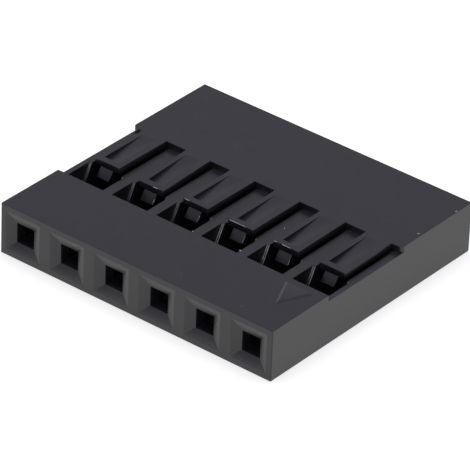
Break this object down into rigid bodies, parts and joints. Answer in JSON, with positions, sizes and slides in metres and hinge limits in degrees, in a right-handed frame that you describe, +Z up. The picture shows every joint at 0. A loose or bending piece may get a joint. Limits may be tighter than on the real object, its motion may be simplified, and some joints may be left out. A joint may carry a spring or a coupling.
{
  "type": "jumper wire connector housing",
  "caption": "Flat single-row black plastic housing for crimped jumper wire terminals, with funnel-mouthed pin holes and a sprung latch tongue over each cavity.",
  "frame": {"origin": "middle of the flat underside", "axes": "+X along the row towards the end with the first-circuit mark, +Y from the mating face to the wire face, +Z up to the face with the latch windows"},
  "size_m": [0.0152, 0.014, 0.0026],
  "materials": {
    "housing_plastic": "black satin moulded nylon"
  },
  "bodies": {
    "root": {"housing": "housing_plastic"}
  },
  "joints": []
}
